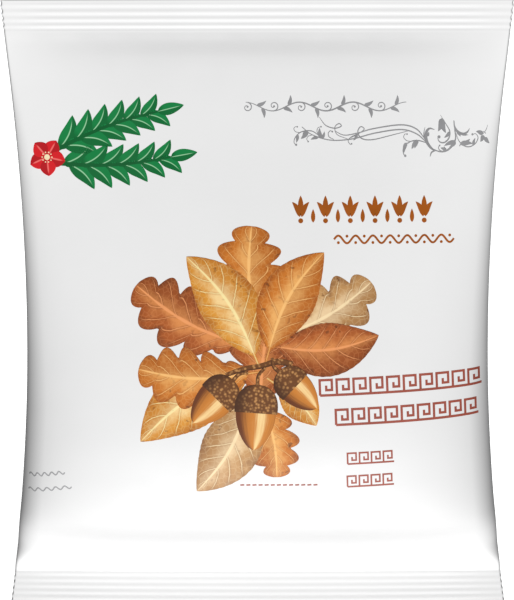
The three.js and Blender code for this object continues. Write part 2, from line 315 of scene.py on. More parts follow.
def closed_sheet(upper, lower):
    """Vertices, faces and uv of the closed sheet between two grids of points of the same size.

    The grids' columns run to the right of their rows, as seen from above.
    """
    rows, columns = upper.shape[:2]
    count = rows * columns
    index = np.arange(count).reshape(rows, columns)
    rim = np.concatenate([index[0, :-1], index[:-1, -1], index[-1, :0:-1], index[:0:-1, 0]])
    after = np.roll(rim, -1)
    wall = together(rim, rim + count, after + count, after)
    faces = np.concatenate([
        sheet_faces(rows, columns, False, 0),
        sheet_faces(rows, columns, True, count),
        wall,
    ])
    across, up = np.meshgrid(np.linspace(0, 1, columns), np.linspace(0, 1, rows))
    uv = together(across, up).reshape(-1, 2)
    vertices = np.concatenate([upper.reshape(-1, 3), lower.reshape(-1, 3)])
    return vertices, faces, np.concatenate([uv, uv])


def make_piece(name, sheets, material):
    """One object of several closed sheets of film or ink, in place."""
    vertices, faces, uvs, start = [], [], [], 0
    for sheet_vertices, sheet_face, uv in sheets:
        vertices.append(sheet_vertices)
        faces.append(sheet_face + start)
        uvs.append(uv)
        start += len(sheet_vertices)
    faces = np.concatenate(faces)
    mesh = bpy.data.meshes.new(name)
    mesh.from_pydata((np.concatenate(vertices) * MM).tolist(), [], faces.tolist())
    layer = mesh.uv_layers.new(name="UVMap")
    layer.data.foreach_set("uv", np.concatenate(uvs)[faces.reshape(-1)].reshape(-1))
    mesh.materials.append(material)
    mesh.validate()
    piece = add_piece(name, mesh)
    mesh.set_sharp_from_angle(angle=math.radians(SHARP_FROM))
    return piece


# --- The film ---
def film_rows():
    """Places along the bag of the film's rows."""
    angles = np.linspace(-1, 1, BODY_ROWS + 1) * ROW_SWEEP
    body = BODY_TOP * np.sin(angles) / np.sin(ROW_SWEEP)
    seal = np.linspace(BODY_TOP, BAG_LENGTH / 2, SEAL_ROWS + 1)[1:]
    return np.concatenate([-seal[::-1], body, seal])


def film_columns():
    """Shares of the half width: even over the panel, and close where the edges roll over."""
    rolled = ROLL_MARGIN * ROLL_WIDTH[-1][1] / (BAG_WIDTH / 2)
    flat = np.linspace(0, 1 - rolled, FILM_COLUMNS // 2 + 1)
    roll = 1 - rolled * np.cos(np.linspace(0, np.pi / 2, ROLL_COLUMNS + 1)[1:]) ** 2
    right = np.concatenate([flat, roll])
    return np.concatenate([-right[:0:-1], right])


def build_film(material):
    """The film web: both panels and both end seals, as one closed body."""
    rows = film_rows()[:, None]
    x = film_columns()[None, :] * half_width(rows)
    y = np.broadcast_to(rows, x.shape)
    front = front_height(x, y)
    back = np.minimum(back_height(x, y), front - 2 * HALF_SEAL)
    upper = together(x, y, front)
    lower = together(x, y, back)
    film = make_piece("film_web", [closed_sheet(upper, lower)], material)
    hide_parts("pillow_film")


def build_fin(material):
    """The fin seal, folded flat down the back, with fine crimps along it."""
    rows = np.linspace(-BAG_LENGTH / 2, BAG_LENGTH / 2, FIN_ROWS)
    columns = np.linspace(-FIN_WIDTH / 2, FIN_WIDTH / 2, FIN_COLUMNS)
    x, y = np.meshgrid(columns, rows)
    panel = np.minimum(back_height(x, y), back_height(np.zeros_like(x), y))
    crimps = CRIMP_RISE * np.sin(2 * np.pi * x / CRIMP_PITCH)
    upper = together(x, y, panel + FIN_ROOT)
    lower = together(x, y, panel - FIN_THICKNESS + FIN_CLEAR + crimps)
    make_piece("back_fin_seal", [closed_sheet(upper, lower)], material)


# --- Printed shapes ---
def smooth_path(points, per_span=10):
    """A Catmull-Rom curve through a list of points, as an array of (x, y)."""
    p = np.array(points, float)
    padded = np.concatenate([[2 * p[0] - p[1]], p, [2 * p[-1] - p[-2]]])
    t = np.linspace(0, 1, per_span, endpoint=False)[:, None]
    spans = []
    for a, b, c, d in zip(padded[:-3], padded[1:-2], padded[2:-1], padded[3:]):
        square = 2 * a - 5 * b + 4 * c - d
        cube = 3 * b - a - 3 * c + d
        spans.append(0.5 * (2 * b + (c - a) * t + square * t**2 + cube * t**3))
    return np.concatenate(spans + [p[-1:]])


def turned(path, degrees, origin):
    """A path turned anticlockwise, and then moved so that (0, 0) comes to the origin given."""
    a = math.radians(degrees)
    matrix = np.array([[math.cos(a), math.sin(a)], [-math.sin(a), math.cos(a)]])
    return np.asarray(path, float) @ matrix + np.asarray(origin, float)


def bowed_line(base, degrees, length, bend, count):
    """A path from its base. At its middle it is bowed to the left by half of bend times its length."""
    t = np.linspace(0, 1, count)
    line = together(length * t, bend * length * np.sin(np.pi * t) / 2)
    return turned(line, degrees, base)


def ink_sheet(x, y, layer):
    """A closed sheet of ink over a grid of places on the front."""
    return closed_sheet(on_front(x, y, INK + layer * INK_LAYER), on_front(x, y, -INK_ROOT))


def ribbon(path, half_widths, layer=0, columns=3, slant=0):
    """A sheet of ink along a path. slant leans its sides forward, by a share of their width."""
    path = np.asarray(path, float)
    ahead = np.gradient(path, axis=0)
    ahead /= np.maximum(np.linalg.norm(ahead, axis=1, keepdims=True), 1e-9)
    aside = together(ahead[:, 1], -ahead[:, 0])
    share = np.linspace(-1, 1, columns)[None, :, None]
    wide = np.broadcast_to(np.asarray(half_widths, float), (len(path),))[:, None, None]
    leaning = slant * np.abs(share) * wide * ahead[:, None]
    points = path[:, None] + share * wide * aside[:, None] + leaning
    x, y = points[..., 0], points[..., 1]
    limit = half_width(y) - INK_MARGIN
    return ink_sheet(np.clip(x, -limit, limit), y, layer)


def cornered(points, half_wide, layer):
    """A ribbon of even width with mitred corners."""
    p = np.array(points, float)
    ahead = np.diff(p, axis=0)
    ahead /= np.linalg.norm(ahead, axis=1, keepdims=True)
    aside = together(ahead[:, 1], -ahead[:, 0])
    before = np.concatenate([aside[:1], aside])
    after = np.concatenate([aside, aside[-1:]])
    mitre = before + after
    mitre *= 2 / np.maximum(np.sum(mitre * mitre, axis=1, keepdims=True), 1e-6)
    centres, sides = [], []
    for i in range(len(p) - 1):
        count = max(1, int(np.ceil(np.linalg.norm(p[i + 1] - p[i]) / CORNER_STEP)))
        t = np.linspace(0, 1, count, endpoint=False)[:, None]
        centres.append(p[i] + (p[i + 1] - p[i]) * t)
        sides.append(mitre[i] + (mitre[i + 1] - mitre[i]) * t)
    centre = np.concatenate(centres + [p[-1:]])
    side = half_wide * np.concatenate(sides + [mitre[-1:]])
    grid = np.stack([centre - side, centre, centre + side], axis=1)
    return ink_sheet(grid[..., 0], grid[..., 1], layer)


def teardrop(base, degrees, length, width, layer=0, bend=0, columns=5, rows=12, blunt=0.6):
    """A small leaf or petal from its base, with a point at its far end."""
    t = np.linspace(0, 1, rows)
    wide = width / 2 * np.sin(np.pi * t**blunt) ** 0.8
    line = bowed_line(base, degrees, length, bend, rows)
    return ribbon(line, np.maximum(wide, 0.02), layer, columns)


def disc(centre, radius, layer=0, columns=9, rows=13):
    """A round dot of ink."""
    t = np.linspace(-1, 1, rows)
    line = together(radius * np.sin(t * np.pi / 2), np.zeros(rows))
    line += np.asarray(centre, float)
    return ribbon(line, np.maximum(radius * np.cos(t * np.pi / 2), 0.01), layer, columns)


# --- Materials ---
def srgb(red, green, blue):
    """Linear colour of an 8-bit screen colour."""
    def channel(value):
        c = value / 255
        return c / 12.92 if c <= 0.04045 else ((c + 0.055) / 1.055) ** 2.4
    return (channel(red), channel(green), channel(blue), 1)


def shifted(colour, factor, more=0):
    """A colour made darker or lighter."""
    return tuple(min(1, factor * c + more) for c in colour[:3]) + (1,)


class Nodes:
    """Short names for making a material's nodes."""

    def __init__(self, name):
        self.material = bpy.data.materials.new(name)
        self.material.use_nodes = True
        self.tree = self.material.node_tree
        self.shader = self.tree.nodes["Principled BSDF"]

    def add(self, kind, settings=None, **inputs):
        node = self.tree.nodes.new(kind)
        for key, value in (settings or {}).items():
            setattr(node, key, value)
        for key, value in inputs.items():
            self.put(node, key, value)
        return node

    def put(self, node, key, value):
        """Link or set an input by its name, with _ for a space, or by its number, as in _6."""
        socket = node.inputs[int(key[1:])] if key[0] == "_" else node.inputs[key.replace("_", " ")]
        if isinstance(value, bpy.types.NodeSocket):
            self.tree.links.new(value, socket)
        else:
            socket.default_value = value

    def place(self):
        """The place on the bag, in metres."""
        return self.add("ShaderNodeTexCoord").outputs["Object"]

    def in_sheet(self):
        """Shares of the way across a sheet, from its left edge, and along it, from its base."""
        uv = self.add("ShaderNodeTexCoord").outputs["UV"]
        return self.add("ShaderNodeSeparateXYZ", Vector=uv).outputs[:2]

    def math(self, operation, first, second=0, third=0):
        node = self.add("ShaderNodeMath", {"operation": operation}, _0=first, _1=second, _2=third)
        return node.outputs[0]

    def times(self, first, second):
        return self.math("MULTIPLY", first, second)

    def mix(self, share, first, second):
        node = self.add("ShaderNodeMix", {"data_type": "RGBA"}, _0=share, _6=first, _7=second)
        return node.outputs[2]

    def span(self, value, low, high, to_low=0, to_high=1):
        """Smoothly from to_low to to_high, as the value goes from low to high."""
        inputs = {"_0": value, "_1": low, "_2": high, "_3": to_low, "_4": to_high}
        node = self.add("ShaderNodeMapRange", {"interpolation_type": "SMOOTHSTEP"}, **inputs)
        return node.outputs[0]

    def noise(self, place, scale, detail, rough=0.5):
        node = self.add("ShaderNodeTexNoise", Vector=place, Scale=scale, Detail=detail, Roughness=rough)
        return node.outputs["Fac"]

    def bump(self, height, distance, strength, normal=None):
        node = self.add("ShaderNodeBump", Height=height, Distance=distance, Strength=strength)
        if normal is not None:
            self.put(node, "Normal", normal)
        return node.outputs[0]

    def finish(self, **sockets):
        """Set or link the shader's sockets."""
        for key, value in sockets.items():
            self.put(self.shader, key, value)
        return self.material


# Film and ink. The scale of a noise is about how many of its grains lie in a metre
FILM_COLOUR = (0.84, 0.84, 0.84, 1)
FILM_ROUGHNESS = 0.5
PEEL_SCALE = 900
PEEL_DEPTH = 0.02  # mm
MOTTLE_SCALE = 70
MOTTLE_DEPTH = 0.1  # mm


def film_finish(nodes, colour):
    """The satin surface that film and ink share: faint mottling and a very fine orange peel."""
    place = nodes.place()
    peel = nodes.noise(place, PEEL_SCALE, 2)
    mottle = nodes.noise(place, MOTTLE_SCALE, 2)
    rough = nodes.span(mottle, 0.3, 0.7, FILM_ROUGHNESS - 0.04, FILM_ROUGHNESS + 0.05)
    normal = nodes.bump(peel, PEEL_DEPTH * MM, 0.5)
    normal = nodes.bump(mottle, MOTTLE_DEPTH * MM, 0.25, normal)
    nodes.finish(Base_Color=colour, Roughness=rough, Normal=normal)
    return nodes.finish(IOR=1.5, Specular_IOR_Level=0.35)


def film_material():
    """White film, very slightly cloudy."""
    nodes = Nodes("white_film")
    cloud = nodes.span(nodes.noise(nodes.place(), 25, 4), 0.35, 0.65)
    return film_finish(nodes, nodes.mix(cloud, FILM_COLOUR, shifted(FILM_COLOUR, 0.985)))


def ink_material(name, colour):
    """A flat printed colour, a little uneven as ink on film is."""
    nodes = Nodes(name)
    uneven = nodes.span(nodes.noise(nodes.place(), 160, 3), 0.35, 0.65)
    return film_finish(nodes, nodes.mix(uneven, colour, shifted(colour, 0.88)))


def petal_material(name, colour, dark, pale, rib=0.07):
    """Flat printed leaves or petals: one half darker, a pale rib along each, and dark at its foot."""
    nodes = Nodes(name)
    across, up = nodes.in_sheet()
    side = nodes.math("ABSOLUTE", nodes.math("MULTIPLY_ADD", across, 2, -1))
    shade = nodes.math("MAXIMUM", nodes.span(across, 0.47, 0.53, 0, 0.75), nodes.span(up, 0.3, 0))
    line = nodes.times(nodes.span(side, 1.6 * rib, 0.6 * rib), nodes.span(up, 0.92, 0.7))
    return film_finish(nodes, nodes.mix(line, nodes.mix(shade, colour, dark), pale))


VEINS = 7  # pairs of side veins in a leaf


def leaf_material(name, pale, middle, dark):
    """A painted autumn leaf: pale along the midrib and dark at the rim, with slanting veins."""
    nodes = Nodes(name)
    across, up = nodes.in_sheet()
    place = nodes.place()
    side = nodes.math("ABSOLUTE", nodes.math("MULTIPLY_ADD", across, 2, -1))
    blotch = nodes.noise(place, 130, 5, 0.65)
    to_rim = nodes.math("ADD", side, nodes.math("MULTIPLY_ADD", blotch, 1.3, -0.65))
    colour = nodes.mix(nodes.span(to_rim, 0, 0.65), pale, middle)
    colour = nodes.mix(nodes.span(to_rim, 0.6, 1.25), colour, dark)
    tip = nodes.times(nodes.span(up, 0.5, 1.1), 0.5)
    colour = nodes.mix(tip, colour, nodes.mix(0.5, middle, dark))
    shaded = nodes.span(nodes.math("SUBTRACT", across, 0.5), -0.02, 0.06)
    colour = nodes.mix(nodes.times(shaded, 0.3), colour, dark)
    # Side veins, each with a shade along it, that lean forward from the midrib
    slanted = nodes.math("MULTIPLY_ADD", side, -0.2, up)
    sway = nodes.math("MULTIPLY_ADD", blotch, 0.05, -0.025)
    wave = nodes.math("PINGPONG", nodes.times(nodes.math("ADD", slanted, sway), VEINS), 0.5)
    colour = nodes.mix(nodes.span(wave, 0, 0.22, 0.4, 0), colour, dark)
    vein = nodes.times(nodes.span(wave, 0.05, 0.01), nodes.span(side, 1, 0.6))
    midrib = nodes.span(side, 0.07, 0.03)
    cells = nodes.add(
        "ShaderNodeTexVoronoi", {"feature": "DISTANCE_TO_EDGE"}, Vector=place, Scale=520
    ).outputs["Distance"]
    net = nodes.span(cells, 0.1, 0, 0, 0.16)
    lines = nodes.math("MAXIMUM", nodes.times(nodes.math("MAXIMUM", vein, midrib), 0.8), net)
    colour = nodes.mix(lines, colour, shifted(pale, 1.2, 0.05))
    spots = nodes.span(nodes.noise(place, 420, 2), 0.64, 0.7)
    spots = nodes.times(spots, nodes.span(side, 0.2, 0.9, 0.2, 0.7))
    return film_finish(nodes, nodes.mix(spots, colour, srgb(96, 50, 20)))


def nut_material():
    """A printed acorn: light down one side, dark at both edges, with fine streaks along it."""
    nodes = Nodes("acorn_print")
    across, up = nodes.in_sheet()
    stretched = nodes.add("ShaderNodeCombineXYZ", X=nodes.times(across, 9), Y=nodes.times(up, 0.8))
    streak = nodes.noise(stretched.outputs[0], 3, 3)
    light = nodes.math("ABSOLUTE", nodes.math("SUBTRACT", across, 0.36))
    to_edge = nodes.math("ADD", light, nodes.math("MULTIPLY_ADD", streak, 0.24, -0.12))
    colour = nodes.mix(nodes.span(to_edge, 0.02, 0.2), srgb(250, 214, 150), srgb(205, 128, 48))
    colour = nodes.mix(nodes.span(to_edge, 0.22, 0.6), colour, srgb(104, 52, 18))
    return film_finish(nodes, colour)


def cup_material():
    """A printed acorn cup: rows of small scales."""
    nodes = Nodes("acorn_cup_print")
    scales = nodes.add("ShaderNodeTexVoronoi", Vector=nodes.place(), Scale=900)
    light = nodes.math("ABSOLUTE", nodes.math("SUBTRACT", nodes.in_sheet()[0], 0.38))
    rim = nodes.span(scales.outputs["Distance"], 0.1, 0.6)
    colour = nodes.mix(rim, srgb(196, 142, 84), srgb(110, 66, 30))
    colour = nodes.mix(nodes.span(light, 0.15, 0.62), colour, srgb(72, 40, 18))
    return film_finish(nodes, colour)


FLESH_GRAIN = 0.3  # mm


def mushroom_material():
    """Frozen chanterelle: egg-yellow flesh with browner patches, and frost on it."""
    nodes = Nodes("frozen_chanterelle")
    place = nodes.place()
    patch = nodes.span(nodes.noise(place, 90, 4), 0.35, 0.68)
    colour = nodes.mix(patch, srgb(232, 160, 52), srgb(190, 108, 28))
    frost = nodes.span(nodes.noise(place, 1500, 4, 0.7), 0.56, 0.7)
    colour = nodes.mix(nodes.times(frost, 0.7), colour, srgb(246, 242, 234))
    grain = nodes.bump(nodes.noise(place, 700, 4, 0.7), FLESH_GRAIN * MM, 0.6)
    rough = nodes.math("MULTIPLY_ADD", frost, 0.2, 0.55)
    return nodes.finish(Base_Color=colour, Roughness=rough, Normal=grain)


# --- The print ---
GREY = srgb(150, 150, 152)
GREEN = srgb(14, 127, 65)
RED = srgb(213, 29, 37)
BROWN = srgb(163, 84, 8)
BRICK = srgb(165, 85, 70)

LEAF_TONES = {  # pale, middle and dark
    "gold": (srgb(250, 214, 150), srgb(222, 152, 56), srgb(170, 96, 26)),
    "orange": (srgb(240, 176, 100), srgb(205, 120, 40), srgb(146, 72, 20)),
    "rust": (srgb(222, 142, 78), srgb(172, 88, 34), srgb(104, 50, 20)),
    "tan": (srgb(238, 206, 160), srgb(196, 148, 92), srgb(138, 92, 52)),
}
LEAF_ROWS = 72
LEAF_STALK = 4.5  # mm
OAK_LOBES = 4.6  # along each side
BEECH_TEETH = 15
ACORN_ROWS = 26


def leaf(base, degrees, length, width, layer, kind, bend):
    """An oak leaf with round lobes, or a beech leaf with a fine toothed rim, and its stalk."""
    t = np.linspace(0, 1, LEAF_ROWS)
    line = bowed_line(base, degrees, length, bend, LEAF_ROWS)
    if kind == "oak":
        outline = np.sin(np.pi * t**0.8) ** 0.62
        lobes = 0.56 + 0.44 * np.abs(np.sin(np.pi * (OAK_LOBES * t + 0.25))) ** 0.75
        broader_end = 0.72 + 0.42 * t
        wide = width / 2 * outline * lobes * broader_end
        slant = 0.32
    else:
        outline = np.sin(np.pi * t**0.86) ** 0.85
        teeth = 1 + 0.035 * np.abs(((t * BEECH_TEETH) % 1) - 0.5)
        wide = width / 2 * outline * teeth
        slant = 0.1
    blade = ribbon(line, np.maximum(wide, 0.03), layer, columns=15, slant=slant)
    back = line[0] - line[3]
    end = line[0] + LEAF_STALK * back / np.linalg.norm(back)
    stalk_line = smooth_path(np.stack([line[2], line[0] + 0.6 * back, end]), 5)
    stalk = ribbon(stalk_line, np.linspace(0.55, 0.4, len(stalk_line)), layer + 0.5)
    return [blade, stalk]


def acorn(top, degrees, size, layer):
    """A nut, its cup and its stalk, hanging from its top. All are in proportion to its size."""
    t = np.linspace(0, 1, ACORN_ROWS)
    nut_line = turned(together(size * t, 0 * t), degrees, top)
    nut_shape = np.sin(np.pi * t**0.75) ** 0.55
    nut = ribbon(nut_line, size * 0.33 * np.maximum(nut_shape, 0.02), layer, 11)
    cup_line = turned(together(size * (0.46 * t - 0.06), 0 * t), degrees, top)
    cup_shape = np.sqrt(1 - (1 - t) ** 2.4) * (1 - 0.1 * t)
    cup = ribbon(cup_line, size * 0.39 * np.maximum(cup_shape, 0.02), layer + 1, 11)
    stalk_points = [(-0.34 * size, 0.1 * size), (-0.2 * size, 0), (0, 0)]
    stalk_line = smooth_path(turned(stalk_points, degrees, top), 5)
    stalk = ribbon(stalk_line, np.linspace(0.5, 0.7, len(stalk_line)), layer + 0.5)
    return nut, cup, stalk


# Each leaf of the picture: base (mm), direction, length, width, kind, tone and bend, lowest first
LEAVES = [
    ((4, -8), 28, 40, 24, "oak", "tan", -0.14),
    ((-6, -10), 151, 41, 25, "oak", "rust", 0.12),
    ((-3, -20), 212, 44, 21, "beech", "gold", -0.16),
    ((1, -29), -78, 27, 19, "oak", "orange", 0.12),
    ((-3, -28), 241, 37, 20, "beech", "tan", 0.16),
    ((1, -30), 84, 27, 26, "oak", "rust", 0.05),
    ((0, -8), 93, 38, 27, "oak", "orange", 0.1),
    ((7, -11), 6, 35, 18, "beech", "rust", -0.16),
    ((-1, -14), 125, 41, 20, "beech", "gold", -0.14),
    ((4, -12), 60, 38, 19, "beech", "orange", 0.16),
    ((-3, -20), 178, 38, 23, "oak", "orange", 0.12),
    ((7, -24), -46, 19, 12, "beech", "gold", 0.14),
]
ACORNS = [((-9, -23), 226, 19), ((0, -25), 266, 21), ((8, -20), -44, 17)]  # top, direction, length
TWIG = [(-11, -20.5), (-5, -18.5), (1, -17.5), (7, -16), (12, -17)]


def print_leaves():
    """The picture: a bunch of autumn leaves, and three acorns on a twig over it."""
    materials = {}
    for tone, colours in LEAF_TONES.items():
        materials[tone] = leaf_material(f"leaf_print_{tone}", *colours)
    for i, (base, degrees, length, width, kind, tone, bend) in enumerate(LEAVES):
        sheets = leaf(base, degrees, length, width, i, kind, bend)
        make_piece(f"printed_leaf_{i + 1:02d}", sheets, materials[tone])
    over = len(LEAVES) + 1
    path = smooth_path(TWIG)
    twig = ribbon(path, np.linspace(0.7, 1.1, len(path)), over)
    nuts, cups = [], []
    for i, (top, degrees, size) in enumerate(ACORNS):
        nut, cup, stalk = acorn(top, degrees, size, over + 1 + 2 * i)
        nuts.append(nut)
        cups += [cup, stalk]
    make_piece("printed_acorns", nuts, nut_material())
    make_piece("printed_acorn_cups", cups + [twig], cup_material())


def place_on(path, share):
    """The point at a share of a path, and its direction there in degrees."""
    k = int(share * (len(path) - 1))
    ahead = path[min(k + 1, len(path) - 1)] - path[max(k - 1, 0)]
    return path[k], math.degrees(math.atan2(ahead[1], ahead[0]))


def swell(count, thin, thick, peak):
    """Half widths of a pen stroke that is thickest at a share of its length."""
    t = np.linspace(0, 1, count)
    to_peak = np.where(t < peak, t / peak, (1 - t) / (1 - peak))
    return thin + (thick - thin) * np.sin(np.pi / 2 * to_peak)


# The strokes of the scroll (mm): points, half width at the ends, at the thickest place, where
# that is as a share of the length, and the radius of the knob at the end
STROKES = [
    # Three long stems, two of them with a loop
    ([(15.5, 64), (19, 61.3), (25.5, 59.4), (33, 59.8), (41, 61.8), (50, 63), (55.5, 61.5),
      (59.1, 58.4)], 0.14, 0.24, 0.8, 0),
    ([(21.6, 67.3), (23.8, 64.5), (26.9, 63.5), (29.2, 64.2), (28.4, 65.1), (27, 63.8),
      (27.8, 61.3), (31.4, 59.8)], 0.1, 0.2, 0.3, 0),
    ([(27.2, 62.4), (30.3, 61.1), (34.9, 61.8), (40.4, 63.3), (50, 64.6), (55.4, 63.2),
      (58.6, 59.5)], 0.12, 0.24, 0.8, 0),
    ([(31.9, 59.9), (34.9, 61.4), (37.2, 63.1), (36, 64), (35, 62.3), (36.2, 60), (40, 59.5),
      (46.6, 61), (53, 62.6)], 0.1, 0.2, 0.6, 0),
    # The great curl, its crescent, and the hook inside it
    ([(61.9, 62.9), (60.1, 63.3), (59, 62.1), (58.8, 59.9), (59.6, 57.8), (61.2, 56.1),
      (63.5, 55.3)], 0.08, 0.56, 0.5, 0),
    ([(61.1, 56.3), (63.5, 55.3), (66, 55.6), (68.2, 57.4), (69.3, 60), (69, 62.8),
      (68.8, 66)], 0.1, 0.3, 0.4, 0),
    ([(68.6, 66.1), (69.1, 63.5), (70.4, 61.9), (72.1, 61.4), (73.5, 62.1),
      (74.3, 63.3)], 0.06, 0.5, 0.45, 0),
    ([(63.9, 68), (65.8, 65), (67.2, 62.4), (66.9, 60), (65.4, 58.5), (63.8, 58.6), (63, 59.8),
      (63.4, 60.4)], 0.06, 0.26, 0.5, 0.55),
    ([(64.8, 55.4), (63.6, 55.8), (63.2, 56.8), (63.6, 57.4)], 0.1, 0.16, 0.4, 0.32),
    ([(62.1, 55.6), (60.8, 55.1), (60.2, 53.6)], 0.08, 0.26, 0.4, 0),
    ([(58.1, 59.8), (58.1, 61.8), (58.5, 63.8)], 0.05, 0.18, 0.3, 0),
    # The spray to its left
    ([(58.8, 58.4), (56.4, 59.1), (54, 59), (51.9, 57.9), (50.8, 56.3), (50.9, 54.6),
      (51.5, 53.9)], 0.12, 0.2, 0.2, 0.42),
    ([(53.6, 58.9), (52, 59.2), (51, 60.3), (51.4, 61.4), (52.2, 61.4)], 0.1, 0.14, 0.3, 0.28),
    # The stem to its right
    ([(69.4, 61.8), (70.3, 59.3), (71.9, 57.5), (74.1, 56.9), (76.3, 58), (77.3, 60), (76.5, 61.4),
      (75.3, 61.2)], 0.08, 0.2, 0.4, 0.38),
    ([(71.3, 58.2), (70.6, 57.1)], 0.1, 0.2, 0.5, 0),
    ([(79.1, 61.3), (80.2, 62.8), (80.8, 64.5)], 0.05, 0.12, 0.3, 0),
    ([(77.8, 61.1), (79.3, 62.1), (80, 61.6)], 0.05, 0.1, 0.3, 0.18),
    # The sprays and curls at the left end
    ([(22.4, 60.1), (19.5, 62.3), (17, 62.6), (14.7, 61.9), (13.1, 60.1), (12.8, 58.5),
      (13.5, 57.8)], 0.1, 0.18, 0.3, 0.38),
    ([(15, 62), (13.4, 62.3), (12.7, 63.3), (13.2, 64), (13.9, 64)], 0.08, 0.13, 0.3, 0.28),
    ([(19.4, 61.2), (17.8, 60.8), (17.2, 59.8), (17.7, 58.9)], 0.08, 0.13, 0.3, 0.28),
    ([(21.8, 60.5), (20.8, 62.2), (21.1, 63.6), (22.2, 64)], 0.08, 0.13, 0.3, 0.28),
    ([(26.6, 59.6), (25, 60.5), (24.7, 61.8), (25.4, 62.6), (26.1, 62.3)], 0.1, 0.16, 0.3, 0.3),
    ([(34.6, 61.4), (32.6, 60.4), (31.6, 59.2), (32.2, 58), (32.8, 58.1)], 0.1, 0.14, 0.3, 0.28),
]
# Its leaflets: base (mm), direction, length and width
LEAFLETS = [
    ((64.4, 66.8), -106, 4.7, 2.1), ((64.4, 66.8), -74, 5.3, 2.1), ((67.2, 62.1), -134, 2.8, 1.1),
    ((69.4, 58.6), 198, 4.4, 1.5), ((69.2, 58.7), 222, 3, 1.2), ((65.8, 55.6), 152, 2.1, 1),
    ((65.9, 55.7), 118, 1.6, 0.8), ((56.1, 59.2), -128, 3.8, 1.6), ((55.6, 59.3), -108, 3, 1),
    ((52, 58.4), -105, 3.6, 1.3), ((71, 57.8), 2, 4.4, 1.7), ((71.5, 57.9), 30, 3.4, 1.2),
    ((75.6, 57.4), 74, 2.6, 1), ((79.1, 61.2), 158, 2.7, 1.5), ((79.1, 60.9), -112, 2.5, 1.5),
    ((79.8, 60.2), -52, 2.7, 1.4), ((17.4, 62.7), -128, 3.6, 1.7), ((16.8, 62.5), -108, 2.6, 1),
    ((13.9, 61.3), -98, 2.8, 1.1), ((21.2, 60.3), 196, 2.7, 1.1), ((22.2, 60.1), 98, 3.5, 1.4),
    ((22.5, 60), 70, 2.5, 1), ((34.7, 61.3), -122, 2.4, 1), ((71, 61.6), -12, 2.8, 0.8),
    ((69.8, 62), -52, 2, 0.9), ((59.3, 60.6), 72, 1.6, 0.8),
]
SCROLL_LAYERS = 6  # the strokes take turns on these, so that few that cross lie in one plane


def print_scroll():
    """A grey pen scroll: long stems with loops that meet in a great curl at the right end."""
    sheets = []
    for n, (points, thin, thick, peak, knob) in enumerate(STROKES):
        path = smooth_path(points)
        layer = n % SCROLL_LAYERS
        sheets.append(ribbon(path, swell(len(path), thin, thick, peak), layer))
        if knob:
            sheets.append(disc(path[-1], knob, layer + 1))
    for n, (base, degrees, length, width) in enumerate(LEAFLETS):
        layer = SCROLL_LAYERS + n % 3
        sheets.append(teardrop(base, degrees, length, width, layer, bend=0.16 * (-1) ** n))
    make_piece("printed_scroll", sheets, ink_material("grey_ink", GREY))


# The vine over the scroll (mm)
VINE_ENDS = (-4, 52)
VINE_Y = 71
VINE_SWING = 1.5
VINE_POINTS = 160
VINE_CURLS = 6
CURL_RADIUS = 1.7
CURL_HALF_WIDE = 0.2
CURL_TURNS = 1.1
CURL_POINTS = 40
CURL_KNOB = 1.8  # radius of the dot in its middle, in half widths of its line
VINE_LEAF = (3.6, 1.3)  # length and width
VINE_LEAF_LEAN = 52  # degrees from the stem


def spiral(centre, start, side):
    """The path of a curl, winding in to its centre. side is 1 for anticlockwise."""
    t = np.linspace(0, 1, CURL_POINTS)
    angle = math.radians(start) + side * 2 * math.pi * CURL_TURNS * t
    r = CURL_RADIUS * (1 - t) ** 0.8 + 0.12 * CURL_RADIUS * t
    return together(centre[0] + r * np.cos(angle), centre[1] + r * np.sin(angle))


def tendril(stem, share, side):
    """A curl that leaves the stem on its left (side 1) or its right (side -1), and its dot."""
    point, ahead = place_on(stem, share)
    aside = math.radians(ahead + 90 * side)
    centre = point + CURL_RADIUS * np.array([math.cos(aside), math.sin(aside)])
    path = spiral(centre, math.degrees(aside) + 180, side)
    line = ribbon(path, CURL_HALF_WIDE * np.linspace(1, 0.6, len(path)), 1)
    return [line, disc(path[-1], CURL_KNOB * CURL_HALF_WIDE, 2)]


def print_vine():
    """A light grey vine over the scroll, with a curl at every crest and small leaves between."""
    x = np.linspace(*VINE_ENDS, VINE_POINTS)
    share = (x - x[0]) / (x[-1] - x[0])
    y = VINE_Y + VINE_SWING * np.sin(np.pi * (VINE_CURLS * share + 0.5))
    stem = together(x, y)
    sheets = [ribbon(stem, swell(len(stem), 0.12, 0.26, 0.6))]
    for i in range(VINE_CURLS):
        side = -1 if i % 2 == 0 else 1
        sheets += tendril(stem, (i + 0.08) / VINE_CURLS, side)
        for at, lean in ((0.42, -side), (0.62, side)):
            point, ahead = place_on(stem, (i + at) / VINE_CURLS)
            degrees = ahead + VINE_LEAF_LEAN * lean
            sheets.append(teardrop(point, degrees, *VINE_LEAF, 3, bend=-0.2 * lean))
    make_piece("printed_spray", sheets, ink_material("light_grey_ink", GREY))


# The two sprigs: foot (mm), direction, length and bend
SPRIGS = [((-72, 55), 21, 40, 0.08), ((-71, 51.5), 3, 41, -0.08)]
SPRIG_POINTS = 40
SPRIG_PAIRS = 6
SPRIG_LEAF = (12.5, 5.6)
SPRIG_LEAF_LEAN = 40
SPRIG_TAPER = 0.3  # share of their size that its leaves lose along it
SPRIG_END_LEAF = 0.75  # size of the leaf at its end, in leaves of the first pair
DARK_GREEN = srgb(6, 96, 46)

# The flower (mm)
FLOWER_PLACE = (-73.5, 53.5)
PETALS = 5
FIRST_PETAL = 60  # degrees
PETAL = (6.6, 5.6)
STAMENS = 10
STAMEN_RING = 1.75  # radius of their ring
EYE_RADIUS = 1
STAMEN_RADIUS = 0.24


